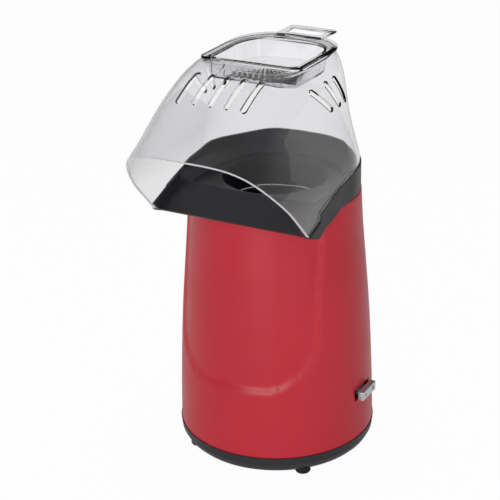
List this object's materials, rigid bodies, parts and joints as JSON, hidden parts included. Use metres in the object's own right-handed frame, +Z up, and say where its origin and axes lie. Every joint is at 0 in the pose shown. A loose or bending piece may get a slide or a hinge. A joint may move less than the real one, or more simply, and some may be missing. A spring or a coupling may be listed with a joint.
{
  "type": "hot-air popcorn maker",
  "caption": "Upright hot-air popcorn maker: round tapering housing, forward chute under a clear vented hood, and a clear measuring cup set into the hood's top.",
  "frame": {"origin": "centre of the whole part's box in plan, on the table under the feet", "axes": "+Z up, the chute's mouth faces -Y, the switch is on the +X side"},
  "size_m": [0.1712, 0.2312, 0.344],
  "materials": {
    "red_plastic": "satin gloss red",
    "black_plastic": "satin black, charcoal sheen",
    "liner_plastic": "matt black, heat resistant",
    "clear_plastic": "clear, polished",
    "silver_plastic": "silver, satin",
    "fan_plastic": "natural nylon",
    "rubber": "matt",
    "screw_steel": "zinc plated",
    "duct_steel": "aluminised sheet",
    "motor_steel": "plated",
    "chamber_aluminium": "brown anodised with a bright rim",
    "magnet": "ferrite grey",
    "copper": "enamelled",
    "bronze": "sintered",
    "mica": "golden brown sheet",
    "heater_wire": "oxidised",
    "board": "paper laminate"
  },
  "bodies": {
    "body": {"base_plate": "black_plastic", "feet": "rubber", "base_screws": "screw_steel", "housing": "red_plastic", "deck_ring": "liner_plastic", "deck_screws": "screw_steel", "air_duct": "duct_steel", "popping_chamber": "chamber_aluminium", "chamber_screws": "screw_steel", "blower_housing": "liner_plastic", "motor_can": "motor_steel", "motor_end_cap": "liner_plastic", "motor_magnets": "magnet", "motor_brushes": "magnet", "motor_bushes": "bronze", "motor_screws": "screw_steel", "mica_cards": "mica", "heater_coil": "heater_wire", "thermostat": "motor_steel", "thermal_fuse": "duct_steel", "rectifier_board": "board", "rectifier_diodes": "liner_plastic", "rectifier_screws": "screw_steel", "switch_body": "liner_plastic"},
    "rotor": {"motor_shaft": "screw_steel", "motor_core": "motor_steel", "motor_windings": "copper", "motor_commutator": "copper", "fan": "fan_plastic"},
    "switch": {"switch_rocker": "silver_plastic"},
    "cover": {"chute": "black_plastic", "hood": "clear_plastic"},
    "cup": {"measuring_cup": "clear_plastic"}
  },
  "joints": [
    {"name": "cover_lift", "type": "slide", "parent": "body", "child": "cover", "axis": [0, 0, 1], "range_m": [0, 0.08]},
    {"name": "cup_lift", "type": "slide", "parent": "cover", "child": "cup", "axis": [0, 0, 1], "range_m": [0, 0.06]},
    {"name": "switch_rock", "type": "hinge", "parent": "body", "child": "switch", "pos_m": [0.0739, 0.0324, 0.06], "axis": [0, 0, 1], "range_deg": [-8, 8]},
    {"name": "fan_spin", "type": "hinge", "parent": "body", "child": "rotor", "pos_m": [-0.0024, 0.0324, 0.085], "axis": [0, 0, 1], "continuous": true}
  ]
}
